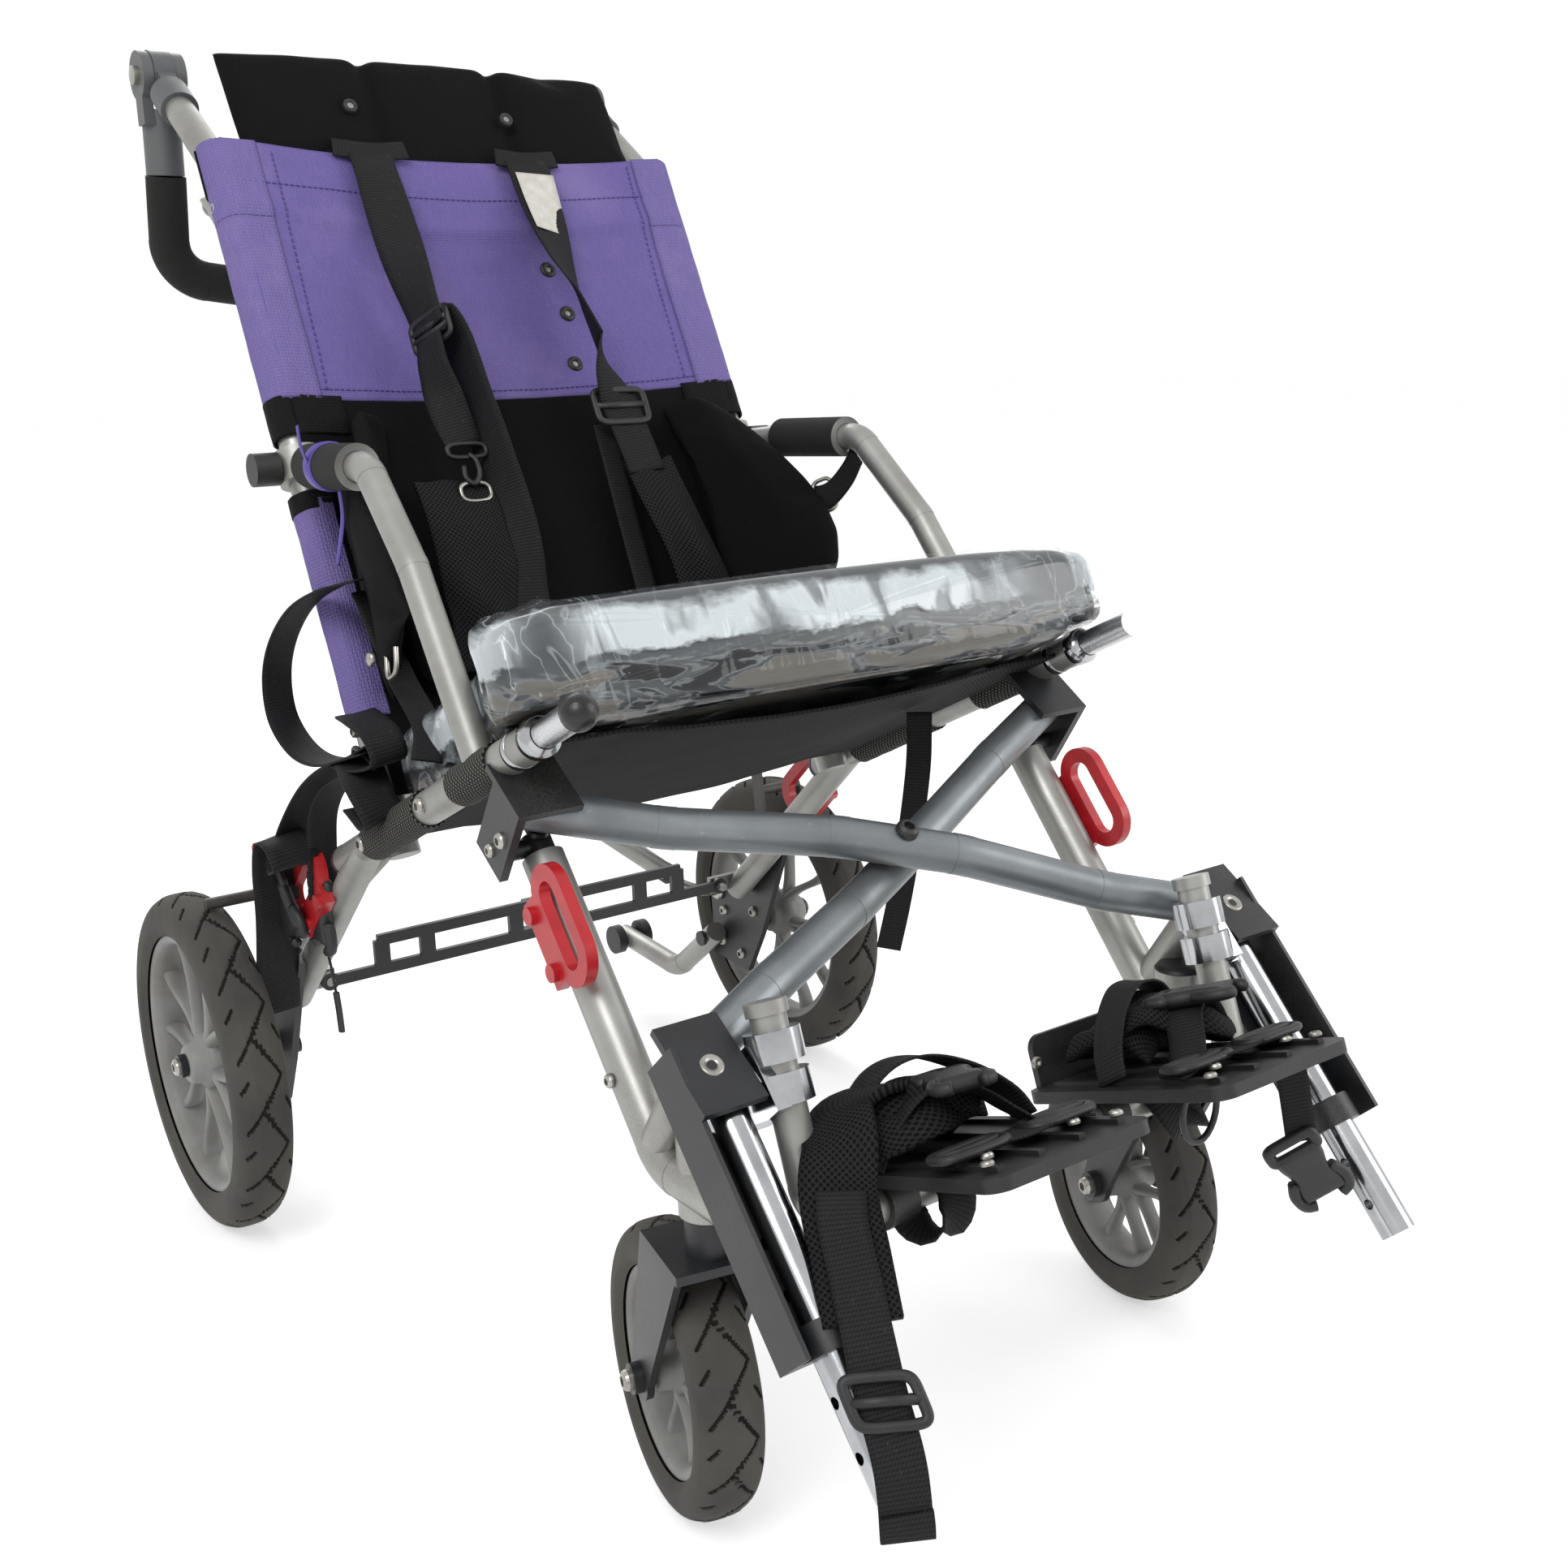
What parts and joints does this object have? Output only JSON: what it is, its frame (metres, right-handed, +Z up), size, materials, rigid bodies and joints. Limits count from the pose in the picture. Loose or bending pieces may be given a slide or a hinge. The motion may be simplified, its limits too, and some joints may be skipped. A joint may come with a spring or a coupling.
{
  "type": "special needs buggy",
  "caption": "Folding tilted-seat buggy with sling back, padded seat, armrests, swing-away footrests, front casters, rear wheels with brakes, push handles and tie-down loops.",
  "frame": {"origin": "on the ground under the middle of the outer box", "axes": "+Z up, -Y the way the seat faces, +X the occupant's left"},
  "size_m": [0.6638, 1.049, 0.9905],
  "materials": {
    "frame_tube": "satin",
    "cross_tube": "satin",
    "chrome_tube": "polished",
    "bright_steel": "satin",
    "black_steel": "satin",
    "red_steel": "gloss",
    "black_plastic": "matte",
    "grey_plastic": "matte",
    "tyre_rubber": "matte",
    "black_cloth": "woven",
    "purple_cloth": "woven",
    "grey_vinyl": "satin"
  },
  "bodies": {
    "right_front": {"right_front_leg": "frame_tube", "right_front_tie_loop": "red_steel", "right_hanger_bracket": "black_steel"},
    "cross_b": {"cross_tube_b": "cross_tube"},
    "cross_a": {"cross_tube_a": "cross_tube"},
    "right_side": {"right_side_frame": "frame_tube", "right_back_post": "frame_tube", "right_armrest": "frame_tube", "right_rail_bracket": "black_steel", "right_axle_plate": "black_steel", "right_rear_tie_loop": "red_steel", "right_handle_elbow": "grey_plastic", "seat_sling": "black_cloth", "seat_cushion": "grey_vinyl", "back_sling": "purple_cloth", "head_panel": "black_cloth", "harness": "black_cloth", "side_pads": "black_cloth"},
    "left_side": {"left_side_frame": "frame_tube", "left_back_post": "frame_tube", "left_armrest": "frame_tube", "left_rail_bracket": "black_steel", "left_axle_plate": "black_steel", "left_rear_tie_loop": "red_steel", "left_handle_elbow": "grey_plastic"},
    "left_front": {"left_front_leg": "frame_tube", "left_front_tie_loop": "red_steel", "left_hanger_bracket": "black_steel"},
    "right_arm_knob": {"right_arm_knob": "black_plastic"},
    "right_push_handle": {"right_push_handle": "black_plastic"},
    "right_handle_button": {"right_handle_button": "bright_steel"},
    "right_hanger": {"right_hanger_tube": "chrome_tube"},
    "right_footrest": {"right_footrest_arm": "frame_tube"},
    "right_footplate": {"right_footplate": "black_plastic"},
    "right_caster": {"right_caster_fork": "black_steel"},
    "right_brake": {"right_brake_lever": "black_steel"},
    "right_anti_tip": {"right_anti_tip_arm": "black_steel"},
    "right_anti_tip_wheels": {"right_anti_tip_rollers": "black_plastic"},
    "right_spreader": {"right_spreader": "black_steel"},
    "right_brace": {"right_back_brace": "frame_tube"},
    "right_caster_wheel": {"right_caster_rim": "grey_plastic", "right_caster_tyre": "tyre_rubber"},
    "right_rear_wheel": {"right_rear_rim": "grey_plastic", "right_rear_tyre": "tyre_rubber"},
    "left_arm_knob": {"left_arm_knob": "black_plastic"},
    "left_push_handle": {"left_push_handle": "black_plastic"},
    "left_handle_button": {"left_handle_button": "bright_steel"},
    "left_hanger": {"left_hanger_tube": "chrome_tube"},
    "left_footrest": {"left_footrest_arm": "frame_tube"},
    "left_footplate": {"left_footplate": "black_plastic"},
    "left_caster": {"left_caster_fork": "black_steel"},
    "left_brake": {"left_brake_lever": "black_steel"},
    "left_anti_tip": {"left_anti_tip_arm": "black_steel"},
    "left_anti_tip_wheels": {"left_anti_tip_rollers": "black_plastic"},
    "left_spreader": {"left_spreader": "black_steel"},
    "left_brace": {"left_back_brace": "frame_tube"},
    "left_caster_wheel": {"left_caster_rim": "grey_plastic", "left_caster_tyre": "tyre_rubber"},
    "left_rear_wheel": {"left_rear_rim": "grey_plastic", "left_rear_tyre": "tyre_rubber"}
  },
  "joints": [
    {"name": "fold", "type": "hinge", "parent": "right_front", "child": "cross_b", "pos_m": [-0.216, -0.33823, 0.33438], "axis": [0, -0.5548, 0.832], "range_deg": [0, 34], "deforming": ["seat_sling", "seat_cushion", "back_sling", "head_panel", "harness", "side_pads"]},
    {"name": "cross_centre", "type": "hinge", "parent": "cross_b", "child": "cross_a", "pos_m": [0, -0.25295, 0.39125], "axis": [0, -0.5548, 0.832], "range_deg": [-68.03, 0]},
    {"name": "right_upper_pivot", "type": "hinge", "parent": "cross_a", "child": "right_side", "pos_m": [-0.216, -0.16768, 0.44812], "axis": [0, -0.5548, 0.832], "range_deg": [0, 34.02]},
    {"name": "left_upper_pivot", "type": "hinge", "parent": "cross_b", "child": "left_side", "pos_m": [0.216, -0.16768, 0.44812], "axis": [0, -0.5548, 0.832], "range_deg": [-34.02, 0]},
    {"name": "left_lower_pivot", "type": "hinge", "parent": "cross_a", "child": "left_front", "pos_m": [0.216, -0.33823, 0.33438], "axis": [0, -0.5548, 0.832], "range_deg": [0, 34.02]},
    {"name": "right_spreader_hinge", "type": "hinge", "parent": "right_side", "child": "right_spreader", "pos_m": [-0.206, 0.27454, 0.203], "axis": [0, 1, 0], "range_deg": [-57.08, 0]},
    {"name": "right_brace_hinge", "type": "hinge", "parent": "right_side", "child": "right_brace", "pos_m": [-0.206, 0.36085, 0.855], "axis": [0, 1, 0], "range_deg": [0, 15.61]},
    {"name": "right_footrest_swing", "type": "hinge", "parent": "right_hanger", "child": "right_footrest", "pos_m": [-0.181, -0.37076, 0.33204], "axis": [0, 0.342, 0.9397], "range_deg": [-85.04, 0]},
    {"name": "right_hanger_slide", "type": "slide", "parent": "right_front", "child": "right_hanger", "axis": [0, -0.6756, -0.7373], "range_m": [0, 0.06]},
    {"name": "right_footplate_flip", "type": "hinge", "parent": "right_footrest", "child": "right_footplate", "pos_m": [-0.181, -0.40325, 0.24277], "axis": [-1, 0, 0], "range_deg": [0, 75]},
    {"name": "right_caster_swivel", "type": "hinge", "parent": "right_front", "child": "right_caster", "pos_m": [-0.206, -0.32872, 0.23], "axis": [0, 0, 1], "continuous": true},
    {"name": "right_caster_spin", "type": "hinge", "parent": "right_caster", "child": "right_caster_wheel", "pos_m": [-0.19394, -0.27199, 0.095], "axis": [0.9781, -0.2079, 0], "continuous": true},
    {"name": "right_wheel_spin", "type": "hinge", "parent": "right_side", "child": "right_rear_wheel", "pos_m": [-0.3045, 0.30654, 0.146], "axis": [1, 0, 0], "continuous": true},
    {"name": "right_brake_pivot", "type": "hinge", "parent": "right_side", "child": "right_brake", "pos_m": [-0.255, 0.26055, 0.20498], "axis": [1, 0, 0], "range_deg": [0, 25]},
    {"name": "right_handle_hinge", "type": "hinge", "parent": "right_side", "child": "right_push_handle", "pos_m": [-0.206, 0.47826, 0.96946], "axis": [1, 0, 0], "range_deg": [0, 110]},
    {"name": "right_button_press", "type": "slide", "parent": "right_push_handle", "child": "right_handle_button", "axis": [1, 0, 0], "range_m": [0, 0.003], "stiffness_N_per_m": 600, "springref_m": -0.001},
    {"name": "right_knob_turn", "type": "hinge", "parent": "right_side", "child": "right_arm_knob", "pos_m": [-0.226, 0.22641, 0.64753], "axis": [1, 0, 0], "continuous": true},
    {"name": "right_anti_tip_flip", "type": "hinge", "parent": "right_side", "child": "right_anti_tip", "pos_m": [-0.2329, 0.33457, 0.12804], "axis": [1, 0, 0], "range_deg": [0, 95]},
    {"name": "right_anti_tip_spin", "type": "hinge", "parent": "right_anti_tip", "child": "right_anti_tip_wheels", "pos_m": [-0.2329, 0.50854, 0.08103], "axis": [1, 0, 0], "continuous": true},
    {"name": "left_spreader_hinge", "type": "hinge", "parent": "left_side", "child": "left_spreader", "pos_m": [0.206, 0.27454, 0.203], "axis": [0, 1, 0], "range_deg": [0, 57.08]},
    {"name": "left_brace_hinge", "type": "hinge", "parent": "left_side", "child": "left_brace", "pos_m": [0.206, 0.38285, 0.855], "axis": [0, 1, 0], "range_deg": [-15.61, 0]},
    {"name": "left_footrest_swing", "type": "hinge", "parent": "left_hanger", "child": "left_footrest", "pos_m": [0.181, -0.37076, 0.33204], "axis": [0, 0.342, 0.9397], "range_deg": [0, 85.04]},
    {"name": "left_hanger_slide", "type": "slide", "parent": "left_front", "child": "left_hanger", "axis": [0, -0.6756, -0.7373], "range_m": [0, 0.06]},
    {"name": "left_footplate_flip", "type": "hinge", "parent": "left_footrest", "child": "left_footplate", "pos_m": [0.181, -0.40325, 0.24277], "axis": [-1, 0, 0], "range_deg": [0, 75]},
    {"name": "left_caster_swivel", "type": "hinge", "parent": "left_front", "child": "left_caster", "pos_m": [0.206, -0.32872, 0.23], "axis": [0, 0, 1], "continuous": true},
    {"name": "left_caster_spin", "type": "hinge", "parent": "left_caster", "child": "left_caster_wheel", "pos_m": [0.21806, -0.27199, 0.095], "axis": [0.9781, -0.2079, 0], "continuous": true},
    {"name": "left_wheel_spin", "type": "hinge", "parent": "left_side", "child": "left_rear_wheel", "pos_m": [0.3045, 0.30654, 0.146], "axis": [1, 0, 0], "continuous": true},
    {"name": "left_brake_pivot", "type": "hinge", "parent": "left_side", "child": "left_brake", "pos_m": [0.255, 0.26055, 0.20498], "axis": [1, 0, 0], "range_deg": [0, 25]},
    {"name": "left_handle_hinge", "type": "hinge", "parent": "left_side", "child": "left_push_handle", "pos_m": [0.206, 0.47826, 0.96946], "axis": [1, 0, 0], "range_deg": [0, 110]},
    {"name": "left_button_press", "type": "slide", "parent": "left_push_handle", "child": "left_handle_button", "axis": [-1, 0, 0], "range_m": [0, 0.003], "stiffness_N_per_m": 600, "springref_m": -0.001},
    {"name": "left_knob_turn", "type": "hinge", "parent": "left_side", "child": "left_arm_knob", "pos_m": [0.226, 0.22641, 0.64753], "axis": [1, 0, 0], "continuous": true},
    {"name": "left_anti_tip_flip", "type": "hinge", "parent": "left_side", "child": "left_anti_tip", "pos_m": [0.2329, 0.33457, 0.12804], "axis": [1, 0, 0], "range_deg": [0, 95]},
    {"name": "left_anti_tip_spin", "type": "hinge", "parent": "left_anti_tip", "child": "left_anti_tip_wheels", "pos_m": [0.2329, 0.50854, 0.08103], "axis": [1, 0, 0], "continuous": true}
  ],
  "couplings": [
    {"joint": "cross_centre", "follows": "fold", "ratio": -2},
    {"joint": "right_upper_pivot", "follows": "fold", "ratio": 1},
    {"joint": "left_upper_pivot", "follows": "fold", "ratio": -1},
    {"joint": "left_lower_pivot", "follows": "fold", "ratio": 1},
    {"joint": "right_spreader_hinge", "follows": "fold", "ratio": -1.678},
    {"joint": "right_brace_hinge", "follows": "fold", "ratio": 0.459},
    {"joint": "right_footrest_swing", "follows": "fold", "ratio": -2.5},
    {"joint": "left_spreader_hinge", "follows": "fold", "ratio": 1.678},
    {"joint": "left_brace_hinge", "follows": "fold", "ratio": -0.459},
    {"joint": "left_footrest_swing", "follows": "fold", "ratio": 2.5}
  ]
}
